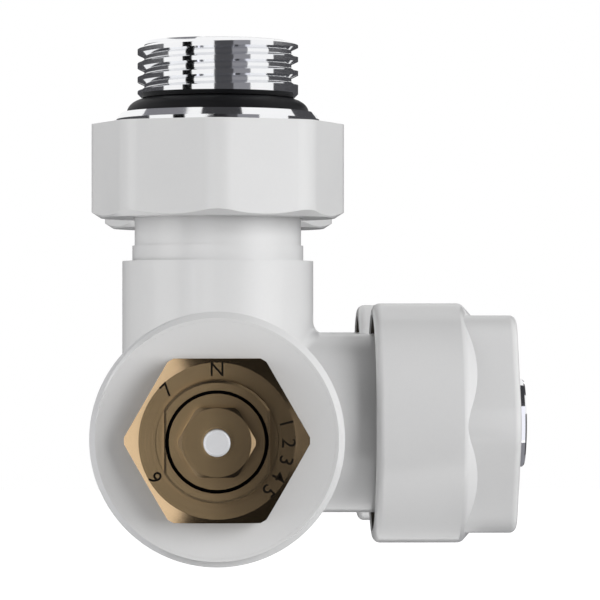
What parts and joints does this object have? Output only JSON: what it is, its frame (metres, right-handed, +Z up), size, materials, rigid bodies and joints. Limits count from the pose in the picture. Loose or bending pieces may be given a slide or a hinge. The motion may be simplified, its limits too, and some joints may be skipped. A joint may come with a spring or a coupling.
{
  "type": "radiator bottom connection valve",
  "caption": "Corner bottom connection valve for a panel radiator, with union nuts, pipe nuts, a presettable thermostatic insert and a lockshield.",
  "frame": {"origin": "on the supply riser's axis, where the nipple's radiator thread starts", "axes": "+Z up to the radiator, +X to the pipes, -Y to the thermostat head"},
  "size_m": [0.0564, 0.145, 0.0653],
  "materials": {
    "white_paint": "gloss",
    "chrome": "polished",
    "brass": "machined",
    "black_rubber": "matte",
    "pin_steel": "ground",
    "spring_steel": "bright",
    "white_plastic": "satin"
  },
  "bodies": {
    "valve": {"valve_body": "white_paint", "supply_nipple": "chrome", "return_nipple": "chrome", "supply_nozzle": "chrome", "return_nozzle": "chrome", "supply_nipple_seal": "black_rubber", "return_nipple_seal": "black_rubber", "supply_pilot_seal": "black_rubber", "return_pilot_seal": "black_rubber", "supply_cone_seal": "black_rubber", "return_cone_seal": "black_rubber", "supply_pipe_seals": "black_rubber", "return_pipe_seals": "black_rubber", "supply_retaining_ring": "spring_steel", "return_retaining_ring": "spring_steel", "supply_clamp_ring": "brass", "return_clamp_ring": "brass", "insert_body": "brass", "insert_seal": "black_rubber", "lockshield_insert": "brass"},
    "presetting": {"presetting_ring": "brass", "presetting_sleeve": "brass", "sleeve_seal": "black_rubber", "stuffing_gland": "brass", "gland_seal": "black_rubber"},
    "pin_and_disc": {"valve_pin": "pin_steel", "valve_stem": "brass", "return_spring": "spring_steel", "disc_holder": "brass", "valve_disc": "black_rubber"},
    "supply_union_nut": {"supply_union_nut": "white_paint"},
    "return_union_nut": {"return_union_nut": "white_paint"},
    "supply_pipe_nut": {"supply_pipe_nut": "white_paint"},
    "return_pipe_nut": {"return_pipe_nut": "white_paint"},
    "lockshield_spindle": {"lockshield_spindle": "brass", "lockshield_seal": "black_rubber"},
    "lockshield_cap": {"lockshield_cap": "white_plastic"}
  },
  "joints": [
    {"name": "presetting_turn", "type": "hinge", "parent": "valve", "child": "presetting", "pos_m": [0, -0.05, -0.0435], "axis": [0, 1, 0], "range_deg": [0, 315.5]},
    {"name": "pin_travel", "type": "slide", "parent": "presetting", "child": "pin_and_disc", "axis": [0, 1, 0], "range_m": [0, 0.0025], "stiffness_N_per_m": 9000, "springref_m": -0.003, "deforming": ["return_spring"]},
    {"name": "supply_union_nut_turn", "type": "hinge", "parent": "valve", "child": "supply_union_nut", "pos_m": [0, 0, -0.01], "axis": [0, 0, 1], "continuous": true},
    {"name": "supply_pipe_nut_turn", "type": "hinge", "parent": "valve", "child": "supply_pipe_nut", "pos_m": [0.03, 0, -0.0429], "axis": [1, 0, 0], "continuous": true},
    {"name": "return_union_nut_turn", "type": "hinge", "parent": "valve", "child": "return_union_nut", "pos_m": [0, 0.05, -0.01], "axis": [0, 0, 1], "continuous": true},
    {"name": "return_pipe_nut_turn", "type": "hinge", "parent": "valve", "child": "return_pipe_nut", "pos_m": [0.03, 0.05, -0.0429], "axis": [1, 0, 0], "continuous": true},
    {"name": "lockshield_spindle_turn", "type": "hinge", "parent": "valve", "child": "lockshield_spindle", "pos_m": [0, 0.07, -0.0435], "axis": [0, -1, 0], "range_deg": [0, 936]},
    {"name": "lockshield_cap_turn", "type": "hinge", "parent": "valve", "child": "lockshield_cap", "pos_m": [0, 0.08, -0.0435], "axis": [0, 1, 0], "continuous": true}
  ]
}
